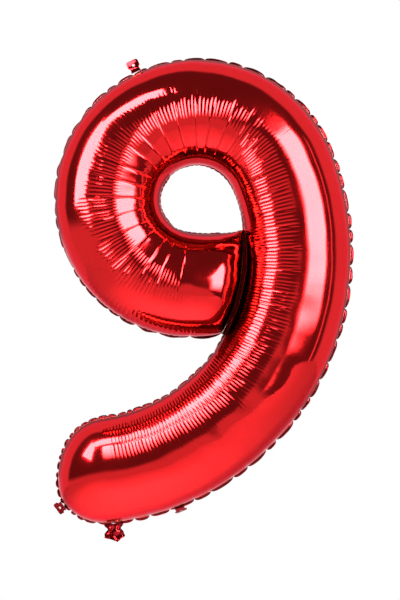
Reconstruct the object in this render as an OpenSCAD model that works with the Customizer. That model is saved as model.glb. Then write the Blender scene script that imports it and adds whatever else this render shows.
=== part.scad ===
// Foil number balloon, the figure 9, blown up.
// Two sheets of metallised film are heat sealed round the outline, round the
// loop's hole and along the crease where the loop's end meets the stem.
// Three hang tabs and a fill neck stick out past the seal, and a flat
// self-sealing valve lies inside the foot.
// +Z is up the figure, +X is its right side and -Y is its front face.
// The origin is the centre of the top hang tab's hole, and the seal lies in y = 0.

/* [Tube] */
// Half width of the blown-up tube, seal to centreline
tube_r = 97; // [80:1:110]
// Half depth of the blown-up tube
tube_depth = 98; // [80:1:110]
// How much the loop's end narrows on each side
arm_slim = 6; // [0:1:12]
// Film thickness, thicker than the real film so that it is a solid
film = 0.8; // [0.5:0.1:1.5]

/* [Centreline] */
// Start of the centreline, at the loop's end, across
start_x = 184; // [150:1:210]
// Start of the centreline, up
start_z = -407; // [-440:1:-380]
// Heading at the start, degrees from +X
start_heading = 185; // [170:1:200]
// Bend radius of the loop's end
arm_bend_r = 500; // [300:10:900]
// Turn of the loop's end
arm_turn = 10; // [0:1:20]
// Bend radius of the loop's left side
loop_r = 158; // [140:1:180]
// Turn of the loop's left side
loop_turn = 121.6; // [100:0.1:140]
// Bend radius of the shoulder
shoulder_r = 168; // [150:1:190]
// Turn of the shoulder
shoulder_turn = 120.2; // [100:0.1:140]
// Bend radius of the stem
stem_r = 405; // [350:1:460]
// Turn of the stem
stem_turn = 104.9; // [90:0.1:120]

/* [Ends] */
// Length over which the loop's end rounds down to the crease
arm_cap = 58; // [30:1:90]
// Where the crease starts, down the stem from the shoulder
crease_top = 108; // [80:1:140]
// Length of the crease, along the stem
crease_l = 262; // [220:1:300]
// Length of the rounded foot
foot_cap = 98; // [80:1:120]
// Squareness of the foot's outline
foot_square = 2.25; // [2:0.1:3.5]

/* [Seal] */
// Width of the flat sealed edge outside the tube
flange = 6; // [4:0.5:12]
// Width of the flat sealed edge inside the hole
hole_flange = 5; // [3:0.5:8]
// Half thickness of the fused band between the two sheets
weld = 0.15; // [0.1:0.05:0.3]
// Gap between the loop's end and the stem that the crease weld fills
crease_gap = 5; // [3:0.5:8]

/* [Hang tabs] */
// Tab width
tab_w = 23; // [16:0.5:30]
// Tab length, root to tip
tab_l = 20; // [14:0.5:28]
// Tab corner radius
tab_corner = 4.5; // [2:0.5:8]
// Radius of the notch at each side of the root
tab_notch = 5; // [2:0.5:8]
// Depth of the notch
tab_notch_in = 3.2; // [1:0.1:5]
// Hole radius
tab_hole_r = 2.5; // [1.5:0.1:4]
// Thickness of each of the tab's two plies
tab_ply = 0.5; // [0.3:0.1:1]
// Gap at the root, where the film flexes
tab_gap = 0.9; // [0.6:0.1:2]
// Place of the foot tab round the foot's outline
foot_tab_turn = 56; // [30:1:80]
// Backward lean of the foot tab
foot_tab_lean = 60; // [0:1:70]
// Backward lean of the bottom tab
bottom_tab_lean = 60; // [0:1:70]

/* [Fill neck] */
// Neck width between its side welds
neck_w = 28; // [20:1:40]
// Neck length
neck_l = 30; // [20:1:50]
// Half opening of the neck's mouth
neck_open = 4; // [3:0.5:8]
// Width of each side weld
neck_weld_w = 4; // [2:0.5:6]
// Neck film thickness
neck_film = 0.6; // [0.4:0.1:1]

/* [Valve] */
// Width of the valve's two films
valve_w = 34; // [24:1:50]
// Length of the valve's two films
valve_l = 95; // [60:1:130]
// Thickness of a valve film
valve_film = 0.4; // [0.3:0.1:0.8]
// Half gap between the valve films
valve_gap = 0.2; // [0.1:0.05:0.4]
// Width of each of the valve's side welds
valve_weld_w = 5; // [3:0.5:8]
// Length of the heat-resistant strip at the valve's mouth
strip_l = 40; // [20:1:60]

/* [Hidden] */
$fn = 48;
edge_r = tube_r + flange;
arm_len = arm_bend_r * arm_turn * PI / 180;
loop_len = loop_r * loop_turn * PI / 180;
shoulder_len = shoulder_r * shoulder_turn * PI / 180;
stem_len = stem_r * stem_turn * PI / 180;
s1 = arm_len;
s2 = s1 + loop_len;
s3 = s2 + shoulder_len;
s4 = s3 + stem_len;

// A pose is [x, z, heading]; the tube always turns clockwise.
function turn(p, r, a) = [
    p[0] + r * (sin(p[2]) - sin(p[2] - a)),
    p[1] - r * (cos(p[2]) - cos(p[2] - a)),
    p[2] - a
];
p0 = [start_x, start_z, start_heading];
p1 = turn(p0, arm_bend_r, arm_turn);
p2 = turn(p1, loop_r, loop_turn);
p3 = turn(p2, shoulder_r, shoulder_turn);
function pose(s) =
    s < s1 ? turn(p0, arm_bend_r, s / arm_bend_r * 180 / PI) :
    s < s2 ? turn(p1, loop_r, (s - s1) / loop_r * 180 / PI) :
    s < s3 ? turn(p2, shoulder_r, (s - s2) / shoulder_r * 180 / PI) :
    turn(p3, stem_r, (s - s3) / stem_r * 180 / PI);

// The point q outside the centreline at distance s along it.
function beside(s, q) = let (p = pose(s)) [p[0] - q * sin(p[2]), p[1] + q * cos(p[2])];
// Half width of the tube, with grow added for the sealed edge.
function slim(s) = s < 1.6 * s1 ? arm_slim * pow(1 - s / (1.6 * s1), 2) : 0;
function foot_shape(t) = pow(max(0, 1 - pow(t, foot_square)), 1 / foot_square);
function width(s, grow) =
    s <= s4 ? tube_r + grow - slim(s) :
    (tube_r + grow) * foot_shape((s - s4) / (foot_cap + grow));
// The loop's end lies along the stem's inner edge, between these two distances.
crease_from = s3 + crease_top;
crease_to = crease_from + crease_l;
function end_point(v, grow) =
    beside((crease_from + crease_to + v * (crease_l + 2 * grow)) / 2, -tube_r - crease_gap);
// A point v of the way from the centreline (0) to the outer (1) or inner (-1) edge.
function across(s, v, grow) =
    s >= s1 ? beside(s, v * width(s, grow)) :
    beside(s, v * width(s, grow))
        + (end_point(v, grow) - beside(0, v * width(0, grow))) * pow(1 - s / s1, 2);

// Stations along the tube: [distance, height factor].
arm_steps = 7;
body_steps = 62;
foot_steps = 9;
stations = concat(
    [for (i = [0:arm_steps - 1]) let (a = 90 * i / arm_steps) [arm_cap * (1 - cos(a)), sin(a)]],
    [for (i = [0:body_steps]) [arm_cap + (s4 - arm_cap) * i / body_steps, 1]],
    [for (i = [1:foot_steps]) let (a = 84 * i / foot_steps) [s4 + foot_cap * sin(a), cos(a)]]
);

// Half of the blown-up tube as a solid, drawn in by inset on every side.
// Its arch starts at depth rim and its flat side is at depth low.
arch_steps = 15;
function half_row(s, h, inset, rim, low) = concat(
    [for (k = [0:arch_steps])
        let (a = 180 * k / arch_steps)
        let (p = across(s, -cos(a), -inset))
        [p[0], -rim - h * tube_depth * sin(a), p[1]]],
    [for (k = [arch_steps:-1:0])
        let (p = across(s, -cos(180 * k / arch_steps), -inset))
        [p[0], -low, p[1]]]
);
module half_tube(inset, rim, low) {
    whole = s4 + foot_cap;
    n = len(stations);
    m = 2 * arch_steps + 2;
    points = [for (st = stations)
        each half_row(inset + st[0] * (whole - 2 * inset) / whole, st[1], inset, rim, low)];
    sides = [for (i = [0:n - 2]) for (j = [0:m - 1])
        let (a = i * m + j)
        let (b = i * m + (j + 1) % m)
        each [[a, b, b + m], [a, b + m, a + m]]];
    near = [for (j = [0:arch_steps - 1])
        let (k = m - 1 - j)
        each [[j, k, k - 1], [j, k - 1, j + 1]]];
    far = [for (f = near) [for (q = [2, 1, 0]) f[q] + (n - 1) * m]];
    polyhedron(points = points, faces = concat(sides, near, far), convexity = 8);
}
// The blown-up half of one sheet: an arched skin swept along the centreline.
module skin() {
    difference() {
        half_tube(0, weld + film, weld);
        half_tube(film, weld, -1);
    }
}

// Flat outlines, drawn in the seal's plane.
function edge_line(from, to, v, grow, n) =
    [for (i = [0:n]) across(from + (to - from) * i / n, v, grow)];
function end_line(s, grow, n) =
    [for (i = [0:n]) across(s, 2 * i / n - 1, grow)];
function foot_line(grow, n) = [for (i = [-n:n])
    across(s4 + (foot_cap + grow) * cos(90 * i / n), i < 0 ? 1 : -1, grow)];
split = s2 + 0.45 * shoulder_len;
module loop_sheet(out, in, start) {
    polygon(concat(
        end_line(start, min(out, 0), 10),
        edge_line(start, split, 1, out, 44),
        edge_line(split, start, -1, in, 44)
    ));
}
module stem_sheet(out, in, crease) {
    polygon(concat(
        edge_line(split, s4, 1, out, 44),
        foot_line(out, 14),
        edge_line(s4, crease_to, -1, out, 26),
        edge_line(crease_to, crease_from, -1, crease, 16),
        edge_line(crease_from, split, -1, in, 16)
    ));
}
module edge_ply() {
    difference() {
        union() {
            loop_sheet(flange, hole_flange, 0);
            stem_sheet(flange, hole_flange, crease_gap + 0.5);
        }
        loop_sheet(-1.5, -1.5, 1.5);
        stem_sheet(-1.5, -1.5, -1.5);
    }
}
module panel() {
    skin();
    rotate([90, 0, 0])
        translate([0, 0, weld])
            linear_extrude(film)
                edge_ply();
}

// Heat seals: the fused bands between the two sheets.
module fused() {
    rotate([90, 0, 0])
        translate([0, 0, -weld])
            linear_extrude(2 * weld)
                children();
}
// A band along one edge, from near the tube out to grow.
module edge_band(from, to, v, grow, n) {
    polygon(concat(edge_line(from, to, v, grow, n), edge_line(to, from, v, 0.3, n)));
}
module crease_area(extra, side) {
    polygon(concat(
        edge_line(crease_from - extra, crease_to + extra, -1, crease_gap - side, 20),
        edge_line(crease_to + extra, crease_from - extra, -1, side, 20)
    ));
}
module neck_gap_area() {
    translate(beside(neck_s, 0))
        rotate(neck_dir - 90)
            translate([-neck_w / 2, 0])
                square([neck_w, 2 * edge_r]);
}

// Hang tabs. The local frame has its origin at the root, on the flex line:
// x along the edge, z outwards, y through the film.
shoulder_centre = [p2[0] + shoulder_r * sin(p2[2]), p2[1] - shoulder_r * cos(p2[2])];
top_dir = atan2(-shoulder_centre[1], -shoulder_centre[0]);
tab_hole_out = norm(shoulder_centre) - shoulder_r - edge_r - tab_gap;
bottom_tab_s = s4 - 93;
// A place on the foot's outline, turned a degrees round from the stem's outer side.
function rim(a) = across(s4 + (foot_cap + flange) * sin(a), 1, flange);
module tab_shape() {
    half = tab_w / 2;
    difference() {
        union() {
            translate([-half, 0])
                square([tab_w, tab_l - tab_corner]);
            translate([-half + tab_corner, 0])
                square([tab_w - 2 * tab_corner, tab_l]);
            for (side = [-1, 1])
                translate([side * (half - tab_corner), tab_l - tab_corner])
                    circle(tab_corner);
        }
        for (side = [-1, 1])
            translate([side * (half + tab_notch - tab_notch_in), 2])
                circle(tab_notch);
        translate([0, tab_hole_out])
            circle(tab_hole_r);
    }
}
module tab_ply_solid(side) {
    rotate([90, 0, 0])
        translate([0, 0, side > 0 ? 0 : -tab_ply])
            linear_extrude(tab_ply)
                tab_shape();
}
module at_edge(point, dir, lean) {
    translate([point[0], 0, point[1]])
        rotate([0, 90 - dir, 0])
            rotate([-lean, 0, 0])
                children();
}
function outward(s) = pose(s)[2] + 90;
top_root = [-tab_hole_out * cos(top_dir), -tab_hole_out * sin(top_dir)];
foot_along = rim(foot_tab_turn + 1) - rim(foot_tab_turn - 1);
foot_dir = atan2(foot_along[1], foot_along[0]) + 90;
foot_root = rim(foot_tab_turn) + tab_gap * [cos(foot_dir), sin(foot_dir)];
bottom_root = beside(bottom_tab_s, edge_r + tab_gap);
bottom_dir = outward(bottom_tab_s);

// Fill neck, in the same kind of local frame.
neck_s = s4 + 8;
neck_dir = outward(neck_s);
neck_root = beside(neck_s, edge_r + tab_gap);
neck_arc_r = (pow(neck_w / 2, 2) + pow(neck_open, 2)) / (2 * neck_open);
module neck_bow(r) {
    translate([0, neck_arc_r - neck_open])
        circle(r);
}
module neck_section() {
    intersection() {
        difference() {
            neck_bow(neck_arc_r + neck_film);
            neck_bow(neck_arc_r);
        }
        translate([-neck_w, -neck_open - 2])
            square([2 * neck_w, neck_open + 2 - weld]);
    }
    for (side = [-1, 1])
        translate([side * (neck_w / 2 + neck_weld_w / 2) - neck_weld_w / 2 - 0.4, -weld - neck_film])
            square([neck_weld_w + 0.8, neck_film]);
}
// The root is bevelled on both faces so that the neck can fold at its flex line.
module neck_film_solid() {
    intersection() {
        linear_extrude(neck_l)
            neck_section();
        rotate([90, 0, 90])
            translate([0, 0, -neck_w])
                linear_extrude(2 * neck_w)
                    polygon([[-0.4, 0], [0.4, 0], [9, 10.75], [9, neck_l], [-9, neck_l], [-9, 10.75]]);
    }
}

// Self-sealing valve: two flat films lying inside the foot, in line with the neck.
valve_root = beside(neck_s, tube_r - 5);
module valve_sheet(half_w, from, length, y0, y1) {
    translate([-half_w, y0, -from - length])
        cube([2 * half_w, y1 - y0, length]);
}

module front_panel() {
    color([0.80, 0.06, 0.07])
        panel();
}
module back_panel() {
    color([0.80, 0.06, 0.07])
        mirror([0, 1, 0])
            panel();
}
module outer_seal() {
    color([0.45, 0.02, 0.04])
        fused()
            difference() {
                union() {
                    edge_band(0, s4, 1, flange, 90);
                    polygon(concat(foot_line(flange, 14), [for (i = [28:-1:0]) foot_line(0.3, 14)[i]]));
                    edge_band(s4, crease_to, -1, flange, 40);
                }
                neck_gap_area();
                crease_area(6, -1);
            }
}
module hole_seal() {
    color([0.45, 0.02, 0.04])
        fused()
            difference() {
                union() {
                    edge_band(0, split, -1, hole_flange, 50);
                    edge_band(split, crease_from, -1, hole_flange, 20);
                }
                crease_area(6, -1);
            }
}
module crease_seal() {
    color([0.45, 0.02, 0.04])
        fused()
            crease_area(0, 0.3);
}
module top_tab_front_ply() {
    color([0.85, 0.05, 0.06])
        at_edge(top_root, top_dir, 0)
            tab_ply_solid(1);
}
module top_tab_back_ply() {
    color([0.70, 0.05, 0.06])
        at_edge(top_root, top_dir, 0)
            tab_ply_solid(-1);
}
module foot_tab_front_ply() {
    color([0.85, 0.05, 0.06])
        at_edge(foot_root, foot_dir, foot_tab_lean)
            tab_ply_solid(1);
}
module foot_tab_back_ply() {
    color([0.70, 0.05, 0.06])
        at_edge(foot_root, foot_dir, foot_tab_lean)
            tab_ply_solid(-1);
}
module bottom_tab_front_ply() {
    color([0.85, 0.05, 0.06])
        at_edge(bottom_root, bottom_dir, bottom_tab_lean)
            tab_ply_solid(1);
}
module bottom_tab_back_ply() {
    color([0.70, 0.05, 0.06])
        at_edge(bottom_root, bottom_dir, bottom_tab_lean)
            tab_ply_solid(-1);
}
module neck_front_film() {
    color([0.80, 0.06, 0.07])
        at_edge(neck_root, neck_dir, 0)
            neck_film_solid();
}
module neck_back_film() {
    color([0.70, 0.05, 0.06])
        at_edge(neck_root, neck_dir, 0)
            mirror([0, 1, 0])
                neck_film_solid();
}
module neck_side_welds() {
    color([0.45, 0.02, 0.04])
        at_edge(neck_root, neck_dir, 0)
            for (side = [-1, 1])
                translate([side * (neck_w + neck_weld_w) / 2 - neck_weld_w / 2, -weld, 0])
                    cube([neck_weld_w, 2 * weld, neck_l]);
}
module valve_front_film() {
    color([0.90, 0.90, 0.92])
        at_edge(valve_root, neck_dir, 0)
            valve_sheet(valve_w / 2, 0, valve_l, -valve_gap - valve_film, -valve_gap);
}
module valve_back_film() {
    color([0.85, 0.85, 0.88])
        at_edge(valve_root, neck_dir, 0)
            valve_sheet(valve_w / 2, 0, valve_l, valve_gap, valve_gap + valve_film);
}
module valve_side_welds() {
    color([0.75, 0.75, 0.78])
        at_edge(valve_root, neck_dir, 0)
            for (side = [-1, 1])
                translate([side * (valve_w - valve_weld_w) / 2, 0, 0])
                    valve_sheet(valve_weld_w / 2, 0, valve_l, -valve_gap, valve_gap);
}
module valve_release_strip() {
    color([0.30, 0.45, 0.70])
        at_edge(valve_root, neck_dir, 0)
            valve_sheet(valve_w / 2 - valve_weld_w, 0, strip_l, -valve_gap, 0);
}

front_panel();
back_panel();
outer_seal();
hole_seal();
crease_seal();
top_tab_front_ply();
top_tab_back_ply();
foot_tab_front_ply();
foot_tab_back_ply();
bottom_tab_front_ply();
bottom_tab_back_ply();
neck_front_film();
neck_back_film();
neck_side_welds();
valve_front_film();
valve_back_film();
valve_side_welds();
valve_release_strip();
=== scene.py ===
import math

import bpy
import numpy as np
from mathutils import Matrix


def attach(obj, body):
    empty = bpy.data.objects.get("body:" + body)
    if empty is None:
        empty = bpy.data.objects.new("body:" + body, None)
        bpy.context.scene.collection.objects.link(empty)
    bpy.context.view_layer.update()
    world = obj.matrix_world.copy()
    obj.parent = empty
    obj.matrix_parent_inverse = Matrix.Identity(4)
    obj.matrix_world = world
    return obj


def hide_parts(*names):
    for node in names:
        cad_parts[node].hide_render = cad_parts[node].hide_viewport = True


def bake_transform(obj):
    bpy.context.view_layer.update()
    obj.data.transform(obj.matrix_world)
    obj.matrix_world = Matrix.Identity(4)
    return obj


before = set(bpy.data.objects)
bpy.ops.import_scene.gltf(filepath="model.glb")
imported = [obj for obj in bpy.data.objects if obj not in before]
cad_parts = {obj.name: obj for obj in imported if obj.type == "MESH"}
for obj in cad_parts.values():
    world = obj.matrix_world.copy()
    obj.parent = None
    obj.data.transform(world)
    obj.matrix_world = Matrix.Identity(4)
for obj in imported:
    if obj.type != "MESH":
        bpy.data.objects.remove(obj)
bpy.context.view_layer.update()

# ---------------------------------------------------------------- camera
# A long lens four metres in front, at half the figure's height and square to its
# front face.
camera_data = bpy.data.cameras.new("camera")
camera_data.lens = 129.5
camera_data.sensor_width = 36.0
camera = bpy.data.objects.new("camera", camera_data)
bpy.context.scene.collection.objects.link(camera)
camera.location = (0.1236, -4.0, -0.435)
camera.rotation_euler = (math.radians(90), 0, 0)
bpy.context.scene.camera = camera
bpy.context.scene.view_settings.view_transform = "Standard"

# ---------------------------------------------------------------- studio
# A white sweep behind the hanging balloon and a pale floor below it. The room in
# front is dim, so that the film mirrors it dark, with soft boxes on the left,
# above, below and on the right.


def node_tools(tree):
    """Short calls for one node tree: a new node, a link, a sum and a smooth ramp."""
    def new(kind, **inputs):
        """A node with inputs set by name, or by number when written as i7."""
        node = tree.nodes.new(kind)
        for key, value in inputs.items():
            numbered = key[0] == "i" and key[1:].isdigit()
            node.inputs[int(key[1:]) if numbered else key].default_value = value
        return node

    def link(source, target):
        tree.links.new(source, target)

    def maths(operation, a, b=0.0, clamp=False):
        node = tree.nodes.new("ShaderNodeMath")
        node.operation = operation
        node.use_clamp = clamp
        for socket, value in zip(node.inputs, (a, b)):
            if isinstance(value, (int, float)):
                socket.default_value = value
            else:
                link(value, socket)
        return node.outputs[0]

    def ramp(value, lo, hi, out_lo=0.0, out_hi=1.0):
        node = tree.nodes.new("ShaderNodeMapRange")
        node.interpolation_type = "SMOOTHSTEP"
        link(value, node.inputs["Value"])
        for label, setting in (("From Min", lo), ("From Max", hi), ("To Min", out_lo), ("To Max", out_hi)):
            node.inputs[label].default_value = setting
        return node.outputs["Result"]
    return new, link, maths, ramp


world = bpy.data.worlds.new("studio")
bpy.context.scene.world = world
world.use_nodes = True
world.node_tree.nodes.clear()
new, link, maths, ramp = node_tools(world.node_tree)
ray = new("ShaderNodeTexCoord")
axes = new("ShaderNodeSeparateXYZ")
link(ray.outputs["Generated"], axes.inputs[0])
way_x, way_y, way_z = axes.outputs
# Which side a direction leans to, seen from the front: 1 is right, -1 is left.
sideways = maths("SUBTRACT", 1.0, maths("MULTIPLY", way_y, way_y))
round_x = maths("DIVIDE", way_x, maths("SQRT", maths("MAXIMUM", sideways, 0.001)))
facing = maths("MULTIPLY", way_y, -1.0)


def times(first, *rest):
    """The product of several values."""
    for part in rest:
        first = maths("MULTIPLY", first, part)
    return first


def window(value, lo, hi, soft_lo, soft_hi):
    """1 between lo and hi, with a soft edge of its own width at each end."""
    return times(ramp(value, lo, lo + soft_lo), ramp(value, hi, hi - soft_hi))


ROOM = 0.20
WHITE = 1.06
SOFT_BOX = 38.0
SIDE_STRIP = 1.8
# Bounds below are parts of a direction along one axis. The floor's edge drops away
# to the right, and a little to the left.
tilt = maths("ADD", maths("MULTIPLY", maths("MAXIMUM", way_x, 0.0), 0.86),
             maths("MULTIPLY", maths("MINIMUM", way_x, 0.0), -0.20))
floor_part = ramp(maths("ADD", way_z, tilt), 0.09, -0.06)
# The sweep comes further forward on the right; straight behind the balloon it's dim.
behind = maths("SUBTRACT", way_y, ramp(round_x, -0.70, 0.75, 0.24, 0.0))
sweep_part = times(ramp(behind, -0.07, 0.07), ramp(way_y, 0.72, 0.90, 1.15, 0.20))
level = maths("ADD", maths("MULTIPLY", maths("MAXIMUM", floor_part, sweep_part), WHITE - ROOM), ROOM)
# A soft box on the right, its top sloping up to the right, and a faint strip beyond it.
box_foot = ramp(maths("ADD", way_z, maths("MULTIPLY", way_x, 0.14)), -0.19, 0.10)
box_top = ramp(maths("SUBTRACT", maths("MULTIPLY", way_x, 0.98), way_z), -0.03, 0.04)
right_box = times(window(facing, 0.42, 0.965, 0.10, 0.07), box_foot, box_top)
right_strip = times(window(facing, 0.16, 0.24, 0.03, 0.03), ramp(round_x, 0.80, 0.88))
level = maths("ADD", level, maths("MULTIPLY", right_box, SOFT_BOX))
level = maths("ADD", level, maths("MULTIPLY", right_strip, SIDE_STRIP))
seen = new("ShaderNodeLightPath")
glow = new("ShaderNodeBackground", Color=(1, 1, 1, 1))
link(level, glow.inputs["Strength"])
backdrop = new("ShaderNodeBackground", Color=(1, 1, 1, 1), Strength=1.0)
pick = new("ShaderNodeMixShader")
link(seen.outputs["Is Camera Ray"], pick.inputs[0])
link(glow.outputs[0], pick.inputs[1])
link(backdrop.outputs[0], pick.inputs[2])
sky = new("ShaderNodeOutputWorld")
link(pick.outputs[0], sky.inputs["Surface"])


def soft_box(name, spot, turn, wide, high, radiance, spread=180):
    """A soft box that the camera doesn't see; a grid on its face narrows its spread."""
    data = bpy.data.lights.new(name, "AREA")
    data.shape = "RECTANGLE"
    data.size = wide
    data.size_y = high
    data.energy = radiance * wide * high * math.pi
    data.spread = math.radians(spread)
    box = bpy.data.objects.new(name, data)
    bpy.context.scene.collection.objects.link(box)
    box.location = spot
    box.rotation_euler = [math.radians(t) for t in turn]
    box.visible_camera = False


soft_box("left_box", (-0.97, -0.64, 0.20), (90, 0, -90), wide=0.66, high=0.96, radiance=SOFT_BOX)
soft_box("top_box", (-0.56, -0.64, 0.67), (0, 0, 0), wide=0.80, high=0.40, radiance=SOFT_BOX)
soft_box("low_box", (0.03, -0.62, -0.30), (20, 0, 0), wide=0.40, high=0.46, radiance=13.0, spread=84)

FLOOR_X = 0.12
FLOOR_Z = -1.25
FLOOR_R = 1.75
FLOOR_SIDES = 96
round_turns = np.linspace(0, 2 * math.pi, FLOOR_SIDES, endpoint=False)
rim = [(FLOOR_X + FLOOR_R * math.cos(t), FLOOR_R * math.sin(t), FLOOR_Z) for t in round_turns]
floor_mesh = bpy.data.meshes.new("floor")
floor_mesh.from_pydata(rim, [], [tuple(range(FLOOR_SIDES))])
floor = bpy.data.objects.new("floor", floor_mesh)
bpy.context.scene.collection.objects.link(floor)
floor_paper = bpy.data.materials.new("floor_paper")
floor_paper.use_nodes = True
paper = floor_paper.node_tree.nodes["Principled BSDF"]
paper.inputs["Base Color"].default_value = (0.42, 0.42, 0.42, 1)
paper.inputs["Roughness"].default_value = 0.7
floor.data.materials.append(floor_paper)

# ---------------------------------------------------------------- foil panels
# Two die-cut sheets of red metallised film, sealed face to face round the figure
# and blown up. Round the inside of each bend the film has length to lose and folds
# into fine ripples; along the outer seam it puckers into short lobes.
MM = 0.001
TUBE_R = 97.0
DEPTH = 98.0
ARM_CAP = 60.0
ARM_POWER = 2.8
FOOT_CAP = 98.0
FOOT_POWER = 2.25
FLANGE = 6.0
HOLE_FLANGE = 5.0
CREASE_FLANGE = 2.4
CREASE_GAP = 5.0
SLIMMER = 6.0
CREASE_TOP = 108.0
CREASE_L = 262.0
SPINE_START = (184.0, -407.0, math.radians(185))
BENDS = ((500.0, 10.0), (158.0, 121.6), (168.0, 120.2), (405.0, 104.9))

arcs = []
reach = 0.0
x, z, heading = SPINE_START
for radius, degrees in BENDS:
    arcs.append((reach, x, z, heading, radius))
    after = heading - math.radians(degrees)
    x += radius * (math.sin(heading) - math.sin(after))
    z -= radius * (math.cos(heading) - math.cos(after))
    heading = after
    reach += radius * math.radians(degrees)
ARCS = np.array(arcs)
S1 = ARCS[1, 0]
S3 = ARCS[3, 0]
S4 = reach
CREASE_FROM = S3 + CREASE_TOP
CREASE_TO = CREASE_FROM + CREASE_L
CREASE_MID = (CREASE_FROM + CREASE_TO) / 2
SLIM_TO = 1.6 * S1


def pose(s):
    """Centreline point and heading at distance s; the tube always turns clockwise."""
    row = ARCS[np.clip(np.searchsorted(ARCS[:, 0], s, side="right") - 1, 0, 3)]
    s0, x0, z0, h0, r = np.moveaxis(row, -1, 0)
    h = h0 - (s - s0) / r
    return x0 + r * (np.sin(h0) - np.sin(h)), z0 - r * (np.cos(h0) - np.cos(h)), h


def beside(s, q):
    """The point q outside the centreline at distance s."""
    x, z, h = pose(s)
    return np.stack([x - q * np.sin(h), z + q * np.cos(h)], -1)


def half_width(s, grow):
    """Half the tube's width: a little slimmer near the loop's end, closing round the foot."""
    slim = np.where(s < SLIM_TO, SLIMMER * (1 - np.minimum(s / SLIM_TO, 1)) ** 2, 0.0)
    t = np.clip((s - S4) / (FOOT_CAP + grow), 0, 1)
    foot = (TUBE_R + grow) * (1 - t ** FOOT_POWER) ** (1 / FOOT_POWER)
    return np.where(s <= S4, TUBE_R + grow - slim, foot)


def end_point(v, grow):
    """The loop's end lies along the stem, a gap away from it."""
    return beside(CREASE_MID + v * (CREASE_L / 2 + grow), -TUBE_R - CREASE_GAP)


def across(s, v, grow):
    """A point v of the way from the centreline to the outer (1) or inner (-1) edge."""
    s, v, grow = np.broadcast_arrays(np.asarray(s, float), np.asarray(v, float), np.asarray(grow, float))
    base = beside(s, v * half_width(s, grow))
    zero = np.zeros_like(s)
    square = beside(zero, v * half_width(zero, grow))
    pull = np.where(s < S1, (1 - s / S1) ** 2, 0.0)[..., None]
    return base + (end_point(v, grow) - square) * pull


def smooth(x, lo, hi):
    t = np.clip((x - lo) / (hi - lo), 0, 1)
    return t * t * (3 - 2 * t)


LATTICE = 256


def noise(x, y, seed):
    """Smooth random values from -1 to 1 on a unit lattice."""
    table = np.random.default_rng(seed).uniform(-1, 1, (LATTICE + 1, LATTICE + 1))
    xi, yi = np.floor(x).astype(int), np.floor(y).astype(int)
    fx, fy = x - xi, y - yi
    fx, fy = fx * fx * (3 - 2 * fx), fy * fy * (3 - 2 * fy)
    x0, x1 = xi % LATTICE, (xi + 1) % LATTICE
    y0, y1 = yi % LATTICE, (yi + 1) % LATTICE
    a, b = table[x0, y0], table[x1, y0]
    c, d = table[x0, y1], table[x1, y1]
    return (a * (1 - fx) + b * fx) * (1 - fy) + (c * (1 - fx) + d * fx) * fy


# Fold lines across the tube, one to each ripple, a little further apart in the stem.
FOLD_PITCH = 6.2
STEM_PITCH_MORE = 1.0
STEM_FROM = 640.0
STEM_BLEND = 120.0
fold_dice = np.random.default_rng(21)
folds = [ARM_CAP]
while folds[-1] < S4 - 4:
    in_stem = min(max(folds[-1] - STEM_FROM, 0) / STEM_BLEND, 1)
    folds.append(folds[-1] + (FOLD_PITCH + STEM_PITCH_MORE * in_stem) * fold_dice.uniform(0.86, 1.14))
folds[-1] = S4
FOLDS = np.array(folds)

# Rows along the tube: distance, height factor and turn round the foot's end.
FOLD_ROWS = 9
arm_turns = np.linspace(0, math.pi / 2, 60)[:-1]
foot_turns = np.linspace(0, math.pi / 2, 64)[1:]
body = np.interp(np.arange((len(FOLDS) - 1) * FOLD_ROWS + 1) / FOLD_ROWS, np.arange(len(FOLDS)), FOLDS)
arm_rows = ARM_CAP * (1 - np.cos(arm_turns) ** (2 / ARM_POWER))
ROW_S = np.concatenate([arm_rows, body, S4 + FOOT_CAP * np.sin(foot_turns)])
ROW_H = np.concatenate([np.sin(arm_turns) ** (2 / ARM_POWER), np.ones(len(body)), np.cos(foot_turns)])
ROW_TURN = np.concatenate([np.zeros(len(arm_turns) + len(body)), foot_turns])
ROW_FOLD = np.interp(ROW_S, FOLDS, np.arange(len(FOLDS)))
ON_FOLD = len(arm_turns) + np.arange(1, len(FOLDS) - 1) * FOLD_ROWS
# Columns round the section, from the inner seam (0) to the outer (180 degrees),
# closest together on the tube's inner side, where the film folds.
COLS = np.concatenate([[0, 2.5], np.linspace(6, 57, 17), np.linspace(61.5, 102, 10),
                       np.linspace(109, 150, 7), np.linspace(155.5, 173, 5), [176.5, 180]])
COL_V = -np.cos(np.radians(COLS))
INNER_ARC = COLS * math.pi / 180 * TUBE_R
OUTER_ARC = (180 - COLS) * math.pi / 180 * TUBE_R


def edge_row_s(grow):
    """Each row's distance along the edge of the figure grown by grow."""
    return np.where(ROW_TURN > 0, S4 + (FOOT_CAP + grow) * np.sin(ROW_TURN), ROW_S)


def run_length(points):
    steps = np.linalg.norm(np.diff(points, axis=0), axis=1)
    return np.concatenate([[0], np.cumsum(steps)])


# Distance along the seams at each row: up the outer side and back down the inner.
OUT_LEN = run_length(across(ROW_S, 1.0, 0.0))
HOLE_LEN = run_length(across(ROW_S, -1.0, 0.0))
BACK_LEN = OUT_LEN[-1] + (HOLE_LEN[-1] - HOLE_LEN)
ROUND_HOLE = 1 - smooth(ROW_S, CREASE_FROM - 30, CREASE_FROM - 8)
PAST_CREASE = smooth(ROW_S, CREASE_TO - 4, CREASE_TO + 22)

# Lobe length against distance along the seam, and how deep each pucker draws in.
SEAM_END = 6000.0
LOBE_SPACING = ((0, 110, 260, 640, 1200, 2050, 2150, 2400, 2700), (50, 46, 30, 34, 36, 37, 17, 14, 24))
HOLE_SPACING = ((0, SEAM_END), (10.0, 10.0))
HOLE_PUCKER = 1.3
PUCKER_FALL = 1.1
MANY = 1200
SEAM_DEPTH = np.random.default_rng(8).uniform(0.7, 2.6, MANY)


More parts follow.
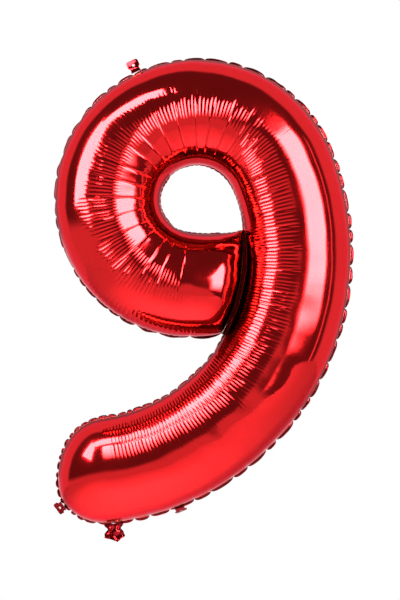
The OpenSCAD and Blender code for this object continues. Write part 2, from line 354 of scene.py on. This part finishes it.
def lobes(length, seed, spacing):
    """Puckers along a seam: 0 on a pucker, 1 in the middle of a lobe, and each pucker's number."""
    dice = np.random.default_rng(seed)
    places = [0.0]
    while places[-1] < SEAM_END:
        places.append(places[-1] + float(np.interp(places[-1], *spacing)) * dice.uniform(0.62, 1.38))
    places = np.array(places)
    k = np.clip(np.searchsorted(places, length, side="right") - 1, 0, len(places) - 2)
    t = (length - places[k]) / (places[k + 1] - places[k])
    return np.sin(math.pi * t) ** 0.62, np.where(t < 0.5, k, k + 1)


def along(s, *pairs):
    """A value set at a few distances along the tube."""
    return np.interp(s, [p[0] for p in pairs], [p[1] for p in pairs])


def fold_shape():
    """0 between folds and 1 in each fold's sharp bottom, one value a row."""
    return (1 - np.abs(np.sin(math.pi * ROW_FOLD)))[:, None]


COMB_SPREAD = 0.10
COMB_FADE = 0.22


def comb(s, v, seed):
    """Fine ripples round the loop and down the stem, each fading to a point at its own length."""
    start = along(s, (0, 0.75), (75, 0.2), (110, -0.14), (640, -0.14), (740, -0.78), (1120, -0.88),
                  (1300, -0.92), (1520, -0.92))
    end = along(s, (0, 1.0), (75, 0.45), (130, 0.42), (250, 0.47), (350, 0.47), (480, 0.38), (600, 0.33),
                (700, 0.16), (830, -0.04), (1150, -0.06), (1330, -0.10), (1520, -0.14))
    strong = along(s, (0, 0.3), (100, 0.7), (160, 1.0), (1330, 1.0), (1480, 0.8), (1514, 0.0))
    dice = np.random.default_rng(seed + 10)
    j = np.round(ROW_FOLD).astype(int)[:, None]
    reach = dice.uniform(0, 1, 1024)[j % 1024]
    depth = dice.uniform(0.75, 1.0, 1024)[j % 1024]
    group = noise(j / 4.0, j * 0 + 0.5, seed + 12)
    tip = end + COMB_SPREAD * (0.55 * group + 0.9 * (reach - 0.5))
    life = np.clip((tip - v) / COMB_FADE, 0, 1) ** 1.3 * smooth(v, start - 0.10, start + 0.10)
    stem_gentler = 1.0 - 0.35 * smooth(s, 640, 800)
    return stem_gentler * strong * fold_shape() * depth * life


def low_comb(s, v):
    """Short ripples along the outer seam under the loop."""
    return smooth(v, 0.72, 0.84) * along(s, (0, 0.7), (150, 0.7), (230, 0)) * fold_shape()


def long_creases(s, v, seed):
    """Creases from the hole's seam out to the comb, forked at their far ends, and the
    film's bulges between them."""
    dice = np.random.default_rng(seed + 30)
    d = np.zeros_like(s)
    at = 96.0
    while at < 1240:
        wide = dice.uniform(2.2, 3.6)
        deep = dice.uniform(0.8, 1.7) * (1.0 if at < 760 else 0.55)
        bend = dice.uniform(-7, 7)
        far = dice.uniform(0.22, 0.42) if at < 700 else dice.uniform(-0.25, 0.0)
        line = at + bend * (v + 0.2) + 2.0 * noise(v * 4, v * 0 + at, seed + 31)
        fork = 1 + 1.8 * smooth(v, far - 0.35, far)
        crease = np.exp(-np.abs(np.abs(s - line) - 1.6 * (fork - 1)) / (wide * 0.55))
        d += deep * crease * smooth(v, -0.86, -0.62) * (1 - smooth(v, far - 0.1, far + 0.06))
        at += dice.uniform(30, 44)
    bulge = smooth(v, -0.7, -0.4) * (1 - smooth(v, 0.2, 0.5))
    return d + 0.7 * noise(s / 36.0, v * 0.9 + 7.7, seed + 32) * bulge


def crinkled_ring(s, v, seed):
    """Small cells and streaks in a ring round the hole and along the stem's inner side."""
    zone = smooth(v, -0.90, -0.80) * (1 - smooth(v, -0.60, -0.48))
    zone = zone * along(s, (0, 0.2), (90, 1), (1100, 1), (1280, 0.2))
    u = s * 0.55
    cells = np.abs(noise(u / 5.2, v * 15, seed + 40))
    cells = cells + 0.7 * np.abs(noise(u / 3.1 + 9, v * 23 + 5, seed + 41))
    streaks = noise(u / 9.0, v * 34, seed + 42)
    return zone * (0.34 * cells + 0.18 * streaks)


def unevenness(s, v, side, seed):
    """Broad unevenness of the film, and shallow dents between."""
    flat = across(s, v, 0.0)
    broad = noise(flat[..., 0] / 88 + 4 * side, flat[..., 1] / 88, seed + 50)
    dents = noise(flat[..., 0] / 34 + 2 * side, flat[..., 1] / 34 + 8, seed + 51)
    return broad + 0.45 * dents


def seam_puckers(seed):
    """Folds that run in from the sealed outline, with small ones round the hole; both
    panels share their places."""
    d = 0.0
    for length, far, zone in ((OUT_LEN, OUTER_ARC, 1.0), (BACK_LEN, INNER_ARC, PAST_CREASE[:, None])):
        lobe, near = lobes(length, 5, LOBE_SPACING)
        dice = np.random.default_rng(seed + 60)
        run = dice.uniform(10, 34, MANY)[near % MANY][:, None]
        drift = dice.uniform(-0.25, 0.25, MANY)[near % MANY][:, None]
        deep = SEAM_DEPTH[near % MANY][:, None]
        fold = (1 - lobe)[:, None] ** (PUCKER_FALL + far / 30.0)
        d = d + zone * deep * fold * np.exp(-far / run) * (1 + drift * far / 40)
    lobe = lobes(HOLE_LEN, 6, HOLE_SPACING)[0]
    return d + ROUND_HOLE[:, None] * HOLE_PUCKER * (1 - lobe)[:, None] * np.exp(-INNER_ARC / 9.0)


def end_puckers(s, v, seed):
    """Folds that run back from the loop's end."""
    wave = np.abs(np.sin(math.pi * (v * 5.3 + 0.6 * noise(v * 4, v * 0 + 2, seed + 70) + 0.02 * s)))
    return 2.6 * (1 - wave) * np.exp(-s / 17.0) * smooth(s, 0, 3) * smooth(np.abs(v), 1.0, 0.93)


def wrinkles(side, seed):
    """How far the film stands in from the plain blown-up shape, in mm, on rows x columns."""
    s, v = np.broadcast_arrays(ROW_S[:, None], COL_V[None, :])
    off_seam = smooth(np.sin(np.radians(COLS)) * ROW_H[:, None], 0.02, 0.30)
    return (comb(s, v, seed) + low_comb(s, v) + long_creases(s, v, seed) + crinkled_ring(s, v, seed)
            + off_seam * unevenness(s, v, side, seed) + seam_puckers(seed) + end_puckers(s, v, seed))


def seam_shift(inner):
    """How far each row's seam is drawn in by the puckers, in mm."""
    lobe, near = lobes(BACK_LEN if inner else OUT_LEN, 5, LOBE_SPACING)
    drawn = SEAM_DEPTH[near % MANY] * (1 - lobe) ** PUCKER_FALL
    if not inner:
        return drawn
    return PAST_CREASE * drawn + ROUND_HOLE * HOLE_PUCKER * (1 - lobes(HOLE_LEN, 6, HOLE_SPACING)[0])


def flange_width(inner):
    """Width of the sealed band at each row; it narrows along the crease."""
    if not inner:
        return np.full(len(ROW_S), FLANGE)
    after_top = smooth(ROW_S, CREASE_FROM - 12, CREASE_FROM - 2)
    in_crease = after_top * (1 - smooth(ROW_S, CREASE_TO + 2, CREASE_TO + 14))
    full = np.where(ROW_S < CREASE_MID, HOLE_FLANGE, FLANGE)
    return full * (1 - in_crease) + CREASE_FLANGE * in_crease


# How far the band leans back, in degrees, against distance along the tube.
LEAN_OUT = ((0, 60, 300, 520, 760, 1500, S4, 1700), (50, 55, 65, 45, 28, 25, 35, 35))
LEAN_IN = ((0, CREASE_TO, CREASE_TO + 60, S4, 1700), (70, 70, 75, 45, 35))
PUCKER_LEAN = 1.50


def flange_points(inner, share, behind):
    """Points on the sealed band, share of its width out from the seam, leaning backwards."""
    v = -1.0 if inner else 1.0
    width = flange_width(inner) * share
    edge = across(ROW_S, v, 0.0)
    out = across(edge_row_s(1.0), v, 1.0) - edge
    out /= np.maximum(np.linalg.norm(out, axis=1), 1e-9)[:, None]
    lean = np.radians(np.interp(ROW_S, *(LEAN_IN if inner else LEAN_OUT)))
    lobe = lobes(BACK_LEN if inner else OUT_LEN, 5, LOBE_SPACING)[0]
    length, seed = OUT_LEN, 72
    if inner:
        pressed = smooth(ROW_S, CREASE_FROM - 12, CREASE_FROM)
        lean = lean * (1 - pressed * (1 - smooth(ROW_S, CREASE_TO, CREASE_TO + 14)))
        lobe = np.where(ROW_S < CREASE_MID, 0.9, lobe)
        length, seed = HOLE_LEN, 71
    lean = lean + (PUCKER_LEAN - lean) * (1 - lobe) ** 1.8
    lean = lean + 0.25 * noise(length / 16.0, length * 0, seed) * share
    flat = edge - out * seam_shift(inner)[:, None] + out * (width * np.cos(lean))[:, None]
    return np.stack([flat[:, 0], width * np.sin(lean) + behind, flat[:, 1]], -1)


def sheet_object(name, grid, wrapped=False, looped=False, capped=False, turned=False):
    """An object from rows of points in mm. wrapped joins the last column to the first,
    looped the last row to the first; capped closes both ends; turned flips the faces."""
    n, m = grid.shape[:2]
    index = np.arange(n * m).reshape(n, m)
    if looped:
        index = np.concatenate([index, index[:1]], 0)
    if wrapped:
        index = np.concatenate([index, index[:, :1]], 1)
    quads = np.stack([index[:-1, :-1], index[1:, :-1], index[1:, 1:], index[:-1, 1:]], -1).reshape(-1, 4)
    faces = (quads[:, ::-1] if turned else quads).tolist()
    if capped:
        faces += [index[0, :-1].tolist(), index[-1, :-1][::-1].tolist()]
    mesh = bpy.data.meshes.new(name)
    mesh.from_pydata((grid.reshape(-1, 3) * MM).tolist(), [], faces)
    mesh.validate()
    mesh.polygons.foreach_set("use_smooth", np.ones(len(mesh.polygons), bool))
    obj = bpy.data.objects.new(name, mesh)
    bpy.context.scene.collection.objects.link(obj)
    return obj


def sharpen_folds(mesh, n, m):
    """Mark the ripples' valleys as sharp folds in a mesh of n rows and m columns."""
    ends = np.empty(len(mesh.edges) * 2, np.int32)
    mesh.edges.foreach_get("vertices", ends)
    ends = np.sort(ends.reshape(-1, 2), axis=1)
    column_v = np.concatenate([[-1, -1], COL_V, [1, 1]])
    # Only where the comb and the short ripples under the loop can run.
    folded = np.zeros((n, m), bool)
    folded[ON_FOLD, 2:-2] = True
    low = (ROW_S < 220)[:, None] & (column_v > 0.74) & (column_v < 0.99)
    folded &= ((column_v > -0.92) & (column_v < 0.60)) | low
    sharp = (ends[:, 1] - ends[:, 0] == 1) & folded[ends[:, 0] // m, ends[:, 0] % m]
    mesh.attributes.new("sharp_edge", "BOOLEAN", "EDGE").data.foreach_set("value", sharp)


# Off the middle plane: a panel's seam, its half of the band, and how much further out
# the film starts, as wrinkles only draw it in.
SEAM_Y = 0.3
BAND_APART = 0.15
SWELL = 0.4


def foil_panel(name, side, seed):
    """One blown-up film panel with its half of the sealed band. side is -1 in front, 1 behind."""
    flat = across(ROW_S[:, None], COL_V[None, :], 0.0)
    y = side * (SEAM_Y + (DEPTH + SWELL) * ROW_H[:, None] * np.sin(np.radians(COLS))[None, :])
    grid = np.stack([flat[..., 0], y, flat[..., 1]], -1)
    normal = np.cross(np.gradient(grid, axis=0), np.gradient(grid, axis=1)) * -side
    normal /= np.maximum(np.linalg.norm(normal, axis=-1, keepdims=True), 1e-9)
    # At the seams the film is drawn straight in towards the tube.
    for col, v in ((0, -1.0), (-1, 1.0)):
        out = across(edge_row_s(1.0), v, 1.0) - grid[:, col][:, [0, 2]]
        out /= np.maximum(np.linalg.norm(out, axis=1), 1e-9)[:, None]
        normal[:, col] = np.stack([out[:, 0], 0 * out[:, 0], out[:, 1]], -1)
    depth = wrinkles(side, seed)
    depth[-1] = depth[-1].mean()
    grid = grid - normal * depth[..., None]
    gap = side * BAND_APART
    inner = [flange_points(True, share, gap) for share in (1.0, 0.5)]
    outer = [flange_points(False, share, gap) for share in (0.5, 1.0)]
    grid = np.concatenate([np.stack(inner, 1), grid, np.stack(outer, 1)], 1)
    grid[0, :, 1] = gap
    foil = sheet_object(name, grid, turned=side > 0)
    sharpen_folds(foil.data, *grid.shape[:2])
    return foil


def effect_group(name, inputs, outputs):
    """A shader node group with named inputs and outputs, and its two end nodes."""
    tree = bpy.data.node_groups.new(name, "ShaderNodeTree")
    for side, sockets in (("INPUT", inputs), ("OUTPUT", outputs)):
        for label, kind in sockets:
            tree.interface.new_socket(label, in_out=side, socket_type="NodeSocket" + kind)
    return tree, tree.nodes.new("NodeGroupInput"), tree.nodes.new("NodeGroupOutput")


# The film's tint and gloss drift a little from place to place; under the lacquer
# lie fine dimples and wider dents.
film_face, given, result = effect_group("film_face", (("Tint", "Color"), ("Dullness", "Float")),
                                        (("Color", "Color"), ("Roughness", "Float"), ("Height", "Float")))
new, link, maths, ramp = node_tools(film_face)
spot = new("ShaderNodeTexCoord")
drift = new("ShaderNodeTexNoise", Scale=9.0, Detail=3.0)
link(spot.outputs["Object"], drift.inputs["Vector"])
deeper = new("ShaderNodeMix", i7=(0.93, 0.8, 0.8, 1))
deeper.data_type = "RGBA"
deeper.blend_type = "MULTIPLY"
link(drift.outputs["Fac"], deeper.inputs[0])
link(given.outputs["Tint"], deeper.inputs[6])
link(deeper.outputs[2], result.inputs["Color"])
gloss_drift = ramp(drift.outputs["Fac"], 0.3, 0.7, 0.0, 0.06)
link(maths("ADD", given.outputs["Dullness"], gloss_drift), result.inputs["Roughness"])
dimples = new("ShaderNodeTexVoronoi", Scale=150.0)
dimples.feature = "SMOOTH_F1"
link(spot.outputs["Object"], dimples.inputs["Vector"])
dents = new("ShaderNodeTexNoise", Scale=38.0, Detail=2.0)
link(spot.outputs["Object"], dents.inputs["Vector"])
fine = maths("MULTIPLY", dimples.outputs["Distance"], 0.16)
wide = maths("MULTIPLY", dents.outputs["Fac"], 0.8)
link(maths("ADD", fine, wide), result.inputs["Height"])


def foil_material(name, tint, dull, crinkle, coat):
    """Mirror-bright tinted film: metal under a clear lacquered face, with fine crinkles."""
    mat = bpy.data.materials.new(name)
    mat.use_nodes = True
    new, link = node_tools(mat.node_tree)[:2]
    film = mat.node_tree.nodes["Principled BSDF"]
    film.inputs["Metallic"].default_value = 1.0
    film.inputs["Coat Weight"].default_value = coat
    film.inputs["Coat Roughness"].default_value = 0.05
    film.inputs["Coat IOR"].default_value = 1.5
    film.inputs["Specular Tint"].default_value = (0.95, 0.45, 0.50, 1)
    face = new("ShaderNodeGroup")
    face.node_tree = film_face
    face.inputs["Tint"].default_value = (*tint, 1)
    face.inputs["Dullness"].default_value = dull
    # Film seen again in film is painted darker and more orange: painted shade on second reflections,
    # standing in for the scatter of its crinkles and the shade round the hole's lips.
    again = new("ShaderNodeLightPath")
    painted_shade_in_reflections = new("ShaderNodeMix", i7=(0.26, 0.10, 0.06, 1))
    painted_shade_in_reflections.data_type = "RGBA"
    link(again.outputs["Is Glossy Ray"], painted_shade_in_reflections.inputs[0])
    link(face.outputs["Color"], painted_shade_in_reflections.inputs[6])
    link(painted_shade_in_reflections.outputs[2], film.inputs["Base Color"])
    link(face.outputs["Roughness"], film.inputs["Roughness"])
    bump = new("ShaderNodeBump", Strength=1.0, Distance=crinkle)
    link(face.outputs["Height"], bump.inputs["Height"])
    link(bump.outputs["Normal"], film.inputs["Normal"])
    return mat


panel_film = foil_material("panel_film", (0.62, 0.0105, 0.0125), dull=0.07, crinkle=0.00014, coat=0.13)
for name, side, seed, node in (("front_foil", -1, 100, "front_panel"), ("back_foil", 1, 500, "back_panel")):
    foil = foil_panel(name, side, seed)
    foil.data.materials.append(panel_film)
    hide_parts(node)
    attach(foil, "envelope")


# ---------------------------------------------------------------- seals
# The two panels' rims, pressed hot into one band. It runs round the outside, round
# the loop's hole, and down the crease where the loop's end meets the stem.
BAND_Y = 0.26
BAND_RIM_Y = 0.12
CREASE_STATIONS = 120


def seal_lines(inner, rows, turned=False):
    """Lines along the band, round its section from the front of its root to the back."""
    section = ((0.10, -BAND_Y), (0.55, -BAND_Y), (1.04, -BAND_RIM_Y),
               (1.04, BAND_RIM_Y), (0.55, BAND_Y), (0.10, BAND_Y))
    lines = [flange_points(inner, share, y)[rows] for share, y in section]
    return [line[::-1] for line in lines] if turned else lines


# The band is the panels' own red film, painted near black: painted shade for the band leaning back into
# shadow.
shade_painted_seal_film = foil_material("shade_painted_seal_film", (0.08, 0.001, 0.004), dull=0.22, crinkle=0.0006, coat=0.10)
every_row = np.arange(len(ROW_S))
# The outer band comes back up the foot's upper side as far as the crease's end.
foot_rows = every_row[ROW_S > CREASE_TO + 2]
hole_rows = every_row[ROW_S < CREASE_FROM + 1]
out_and_back = zip(seal_lines(False, every_row), seal_lines(True, foot_rows, True))
outer = [np.concatenate(pair) for pair in out_and_back]
end_v = np.linspace(-1.02, 1.02, CREASE_STATIONS)
loop_side = end_point(end_v, 0.0)
stem_side = beside(CREASE_MID + end_v * CREASE_L / 2, -TUBE_R)
crease = []
for share, y in ((-0.15, -0.2), (0.5, -0.35), (1.15, -0.2), (1.15, 0.2), (0.5, 0.35), (-0.15, 0.2)):
    line = loop_side * (1 - share) + stem_side * share
    crease.append(np.stack([line[:, 0], np.full(len(line), y), line[:, 1]], -1))
for name, lines, node in (("outer_seal_band", outer, "outer_seal"),
                          ("hole_seal_band", seal_lines(True, hole_rows), "hole_seal"),
                          ("crease_seal_band", crease, "crease_seal")):
    band = sheet_object(name, np.stack(lines, 1), wrapped=True, capped=True)
    band.data.materials.append(shade_painted_seal_film)
    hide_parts(node)
    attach(band, "envelope")


# ---------------------------------------------------------------- hang tabs
# Small ears of both films, die-cut in one with the panels. Each has a punched hole
# for a thread, and narrows at its root, where it bends and gets crumpled.
TAB_W = 23.0
TAB_L = 20.0
TAB_TUCK = 3.5
TAB_CORNER = 4.5
TAB_GAP = 0.9
NOTCH_R = 5.0
NOTCH_IN = 3.2
NOTCH_Z = 2.0
HOLE_R = 2.5
TAB_SPOKES = 144
TAB_RINGS = 16
TAB_Y = 0.17
ROOT_LEAN = 0.45


def place(root, turn_deg, lean_deg, points):
    """Points with x along the seam, y through the film and z outwards, set at a root."""
    b, l = math.radians(90 - turn_deg), math.radians(lean_deg)
    lean = np.array([[1, 0, 0], [0, math.cos(l), math.sin(l)], [0, -math.sin(l), math.cos(l)]])
    spin = np.array([[math.cos(b), 0, math.sin(b)], [0, 1, 0], [-math.sin(b), 0, math.cos(b)]])
    return points @ (spin @ lean).T + np.array([root[0], 0.0, root[1]])


# The top tab's hole is the figure's origin, straight out from the shoulder's centre.
SHOULDER_R = BENDS[2][0]
shoulder_x = ARCS[2, 1] + SHOULDER_R * math.sin(ARCS[2, 3])
shoulder_z = ARCS[2, 2] - SHOULDER_R * math.cos(ARCS[2, 3])
HOLE_OUT = math.hypot(shoulder_x, shoulder_z) - SHOULDER_R - TUBE_R - FLANGE - TAB_GAP
top_turn = math.degrees(math.atan2(-shoulder_z, -shoulder_x))
top_root = (-HOLE_OUT * math.cos(math.radians(top_turn)), -HOLE_OUT * math.sin(math.radians(top_turn)))

# The foot's tab stands on its round end, and the bottom tab under it.
FOOT_TAB_AT = 56.0
BOTTOM_TAB_IN = 93.0


def foot_rim(a):
    """The seal's rim, a degrees round the foot's end."""
    return across(S4 + (FOOT_CAP + FLANGE) * math.sin(math.radians(a)), 1.0, FLANGE)


foot_way = foot_rim(FOOT_TAB_AT + 1) - foot_rim(FOOT_TAB_AT - 1)
foot_turn = math.degrees(math.atan2(foot_way[1], foot_way[0])) + 90
foot_out = np.array([math.cos(math.radians(foot_turn)), math.sin(math.radians(foot_turn))])
foot_root = foot_rim(FOOT_TAB_AT) + TAB_GAP * foot_out
bottom_s = S4 - BOTTOM_TAB_IN
bottom_turn = math.degrees(float(pose(bottom_s)[2])) + 90
bottom_root = beside(bottom_s, TUBE_R + FLANGE + TAB_GAP)


def inside_tab(x, z):
    """True inside the tab's outline: round outer corners, and a notch at each side of its root."""
    half = TAB_W / 2
    cut = (abs(x) <= half) & (z <= TAB_L) & (z >= -TAB_TUCK)
    corner_x, corner_z = abs(x) - (half - TAB_CORNER), z - (TAB_L - TAB_CORNER)
    cut &= ~((corner_x > 0) & (corner_z > 0) & (corner_x ** 2 + corner_z ** 2 > TAB_CORNER ** 2))
    notch_x, notch_z = abs(x) - (half + NOTCH_R - NOTCH_IN), z - NOTCH_Z
    cut &= (notch_x ** 2 + notch_z ** 2 > NOTCH_R ** 2)
    return cut & ~((z < NOTCH_Z) & (abs(x) > half - NOTCH_IN + 1.0))


def tab_crumple(x, z, seed, curl):
    """How far the tab's film stands off flat: curled, uneven, and creased across its root."""
    free = smooth(z, -0.5, 6.0)
    curled = curl * ((x / 11.5) ** 2 * 1.4 + 0.012 * z * z)
    uneven = 0.7 * noise(x / 8.5 + 20, z / 8.0, seed) + 0.10 * noise(x / 2.6 + 5, z / 2.8, seed + 1)
    creased = 0.8 * np.exp(-np.abs(z - 4.8 + 0.25 * x) / 1.3)
    return free * (curled + uneven + creased)


def hang_tab(name, root, turn_deg, lean_deg, seed, curl, nodes):
    """A tab of both plies, in rings round its hole, leaning back from its root."""
    angles = np.linspace(0, 2 * math.pi, TAB_SPOKES, endpoint=False)
    reach = np.full(TAB_SPOKES, HOLE_R)
    for i, a in enumerate(angles):
        for step in (1.0, 0.1, 0.01):
            while inside_tab(math.cos(a) * (reach[i] + step), HOLE_OUT + math.sin(a) * (reach[i] + step)):
                reach[i] += step
    r = HOLE_R + (reach[:, None] - HOLE_R) * np.linspace(0, 1, TAB_RINGS)[None, :]
    x = r * np.cos(angles)[:, None]
    z = HOLE_OUT + r * np.sin(angles)[:, None]
    y = tab_crumple(x, z, seed, curl)
    outwards = range(TAB_RINGS)
    rings = []
    for offset, order in ((-TAB_Y, outwards), (TAB_Y, outwards[::-1])):
        for c in order:
            local = np.stack([x[:, c], y[:, c] + offset, z[:, c]], -1)
            bent = place(root, turn_deg, lean_deg, local)
            tucked = place(root, turn_deg, lean_deg * ROOT_LEAN, local)
            rings.append(np.where(local[:, 2:3] < 0, tucked, bent))
    tab = sheet_object(name, np.stack(rings, 0), wrapped=True, looped=True)
    tab.data.materials.append(shade_painted_tab_film)
    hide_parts(*nodes)
    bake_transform(tab)


# The tabs are the panels' own film, painted a darker red: painted shade.
shade_painted_tab_film = foil_material("shade_painted_tab_film", (0.17, 0.002, 0.004), dull=0.13, crinkle=0.0004, coat=0.10)
for name, root, turn_deg, lean_deg, seed, curl in (("top_tab", top_root, top_turn, 0, 31, 1.0),
                                                    ("foot_tab", foot_root, foot_turn, 60, 37, -0.8),
                                                    ("bottom_tab", bottom_root, bottom_turn, 60, 43, 0.7)):
    plies = (name + "_front_ply", name + "_back_ply")
    hang_tab(name + "_film", root, turn_deg, lean_deg, seed, curl, plies)


# ---------------------------------------------------------------- fill neck
# The tail the balloon is filled through: the two films carried on past the seal
# and welded down both sides. After filling it is flat, gathered and crumpled.
NECK_W = 28.0
NECK_L = 30.0
NECK_TUCK = 4.5
NECK_WELD = 4.0
NECK_LAP = 0.3
NECK_FILM = 0.14
NECK_AIR = 0.12
NECK_MOUTH = 1.1
neck_s = S4 + 8.0
neck_turn = math.degrees(float(pose(neck_s)[2])) + 90
neck_root = beside(neck_s, TUBE_R + FLANGE + TAB_GAP)


def neck_shape(x, z):
    """Crumpled place of a neck point: gathered at the root, flared and folded at the mouth."""
    t = np.clip(z / NECK_L, -0.3, 1)
    pinch = 1 - 0.30 * np.exp(-((z - 5.0) / 4.5) ** 2) + 0.06 * smooth(t, 0.4, 1.0)
    free = smooth(z, -2.5, 4.0)
    near_mouth = smooth(z, 8, 30)
    pleat = 1.9 * np.sin(x / 2.5 + 0.5 * np.sin(z / 4.0)) * np.exp(-((z - 6) / 7.5) ** 2)
    fold = 3.0 * noise(x / 9.5 + 11, z / 9.5, 901) + 0.5 * noise(x / 4.4 + 4, z / 4.2, 902)
    y = free * (pleat + fold * smooth(z, 2, 10) + 3.0 * np.sin(z / 7.0) * smooth(x, -4, 13))
    px = x * pinch + free * (1.2 * noise(z / 5.0, x / 9.0, 903) + 0.05 * z)
    ragged = free * 1.2 * noise(x / 7.0 + 2, z / 30, 904) * near_mouth
    pz = z * (1 - 0.019 * np.abs(x + 3) * smooth(z, 6, 30)) - ragged
    return px, y, pz


def neck_sheet(name, xs, gap, nodes, material):
    """One film of the neck, or a strip of its side weld. gap is -1 in front, 1 behind."""
    zs = np.concatenate([np.linspace(-NECK_TUCK, 0, 5)[:-1], np.linspace(0, NECK_L, 62)])
    x, z = np.meshgrid(xs, zs, indexing="ij")
    px, y, pz = neck_shape(x, z)
    mouth = np.clip(1 - (x / (NECK_W / 2)) ** 2, 0, 1) * smooth(z, 8, 30) * NECK_MOUTH
    faces = []
    for thick in (0.0, NECK_FILM):
        local = np.stack([px, y + gap * (NECK_AIR + mouth + thick), pz], -1)
        faces.append(place(neck_root, neck_turn, 0, local.reshape(-1, 3)).reshape(local.shape))
    film = sheet_object(name, np.concatenate([faces[0], faces[1][:, ::-1]], 1), wrapped=True, capped=True)
    film.data.materials.append(material)
    if nodes:
        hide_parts(*nodes)
    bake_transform(film)


half = NECK_W / 2
full_width = np.linspace(-half, half, 60)
# The neck's films take the tabs' darker film, painted shade as on the tabs.
neck_sheet("neck_front_sheet", full_width, -1, ("neck_front_film",), shade_painted_tab_film)
neck_sheet("neck_back_sheet", full_width, 1, ("neck_back_film",), shade_painted_tab_film)
# The side welds take the seal band's near-black film, painted shade as on the band.
for label, lo, hi, nodes in (("left", -half - NECK_WELD, -half + NECK_LAP, ("neck_side_welds",)),
                             ("right", half - NECK_LAP, half + NECK_WELD, ())):
    neck_sheet(f"neck_{label}_weld", np.linspace(lo, hi, 14), 1, nodes, shade_painted_seal_film)


# ---------------------------------------------------------------- valve
# Two flat strips of clear film inside the foot, welded down their long sides. Gas
# pressure shuts them; a heat-resistant coat kept their mouth open while sealing.
VALVE_W = 34.0
VALVE_L = 95.0
VALVE_WELD = 5.0
VALVE_TUCK = 5.0
COAT_L = 40.0
COAT_MARGIN = 1.0
valve_root = beside(neck_s, TUBE_R - VALVE_TUCK)


# The clear film is a little milky in clouds, which also dimple it.
film_haze, given, result = effect_group("film_haze", (("Tint", "Color"), ("Cover", "Float")),
                                        (("Color", "Color"), ("Alpha", "Float"), ("Height", "Float")))
new, link, maths, ramp = node_tools(film_haze)
spot = new("ShaderNodeTexCoord")
cloud = new("ShaderNodeTexNoise", Scale=60.0, Detail=4.0)
link(spot.outputs["Object"], cloud.inputs["Vector"])
darker = new("ShaderNodeMix", i7=(0.85, 0.85, 0.85, 1))
darker.data_type = "RGBA"
darker.blend_type = "MULTIPLY"
link(cloud.outputs["Fac"], darker.inputs[0])
link(given.outputs["Tint"], darker.inputs[6])
link(darker.outputs[2], result.inputs["Color"])
milky = ramp(cloud.outputs["Fac"], 0.3, 0.7, 0.0, 0.15)
link(maths("ADD", given.outputs["Cover"], milky, clamp=True), result.inputs["Alpha"])
link(cloud.outputs["Fac"], result.inputs["Height"])


def clear_film(name, tint, dull, cover):
    """Clear film with a milky haze: the higher its cover, the less shows through."""
    mat = bpy.data.materials.new(name)
    mat.use_nodes = True
    new, link = node_tools(mat.node_tree)[:2]
    film = mat.node_tree.nodes["Principled BSDF"]
    film.inputs["Roughness"].default_value = dull
    haze = new("ShaderNodeGroup")
    haze.node_tree = film_haze
    haze.inputs["Tint"].default_value = (*tint, 1)
    haze.inputs["Cover"].default_value = cover
    link(haze.outputs["Color"], film.inputs["Base Color"])
    link(haze.outputs["Alpha"], film.inputs["Alpha"])
    bump = new("ShaderNodeBump", Strength=0.6, Distance=0.0004)
    link(haze.outputs["Height"], bump.inputs["Height"])
    link(bump.outputs["Normal"], film.inputs["Normal"])
    return mat


def valve_piece(name, body, node, x_ends, length, material, y_mid, thick):
    """A slightly wavy strip that runs from the fill mouth into the foot."""
    x, z = np.meshgrid(np.linspace(*x_ends, 12), np.linspace(-length, 0, 40), indexing="ij")
    wave = 0.10 * np.sin(z / 6.0) * np.cos(x / 9.0)
    faces = [np.stack([x, y_mid + wave + side * thick / 2, z], -1) for side in (-1, 1)]
    grid = np.concatenate([faces[0], faces[1][:, ::-1]], 1)
    grid = place(valve_root, neck_turn, 0, grid.reshape(-1, 3)).reshape(grid.shape)
    sheet = sheet_object(name, grid, wrapped=True, capped=True)
    sheet.data.materials.append(material)
    if node:
        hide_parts(node)
    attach(sheet, body)


valve_film = clear_film("valve_film", (0.82, 0.83, 0.86), dull=0.32, cover=0.55)
release_coat = clear_film("release_coat", (0.20, 0.30, 0.52), dull=0.55, cover=0.85)
edge = VALVE_W / 2
weld = edge - VALVE_WELD
coat = weld - COAT_MARGIN
valve_piece("valve_front_sheet", "valve_front", "valve_front_film", (-edge, edge), VALVE_L,
            valve_film, y_mid=-0.40, thick=0.20)
valve_piece("valve_back_sheet", "valve_back", "valve_back_film", (-edge, edge), VALVE_L,
            valve_film, y_mid=0.40, thick=0.20)
valve_piece("valve_left_weld", "valve_front", "valve_side_welds", (-edge, -weld), VALVE_L,
            valve_film, y_mid=-0.24, thick=0.12)
valve_piece("valve_right_weld", "valve_front", None, (weld, edge), VALVE_L,
            valve_film, y_mid=-0.24, thick=0.12)
valve_piece("valve_release_coat", "valve_front", "valve_release_strip", (-coat, coat), COAT_L,
            release_coat, y_mid=-0.22, thick=0.08)
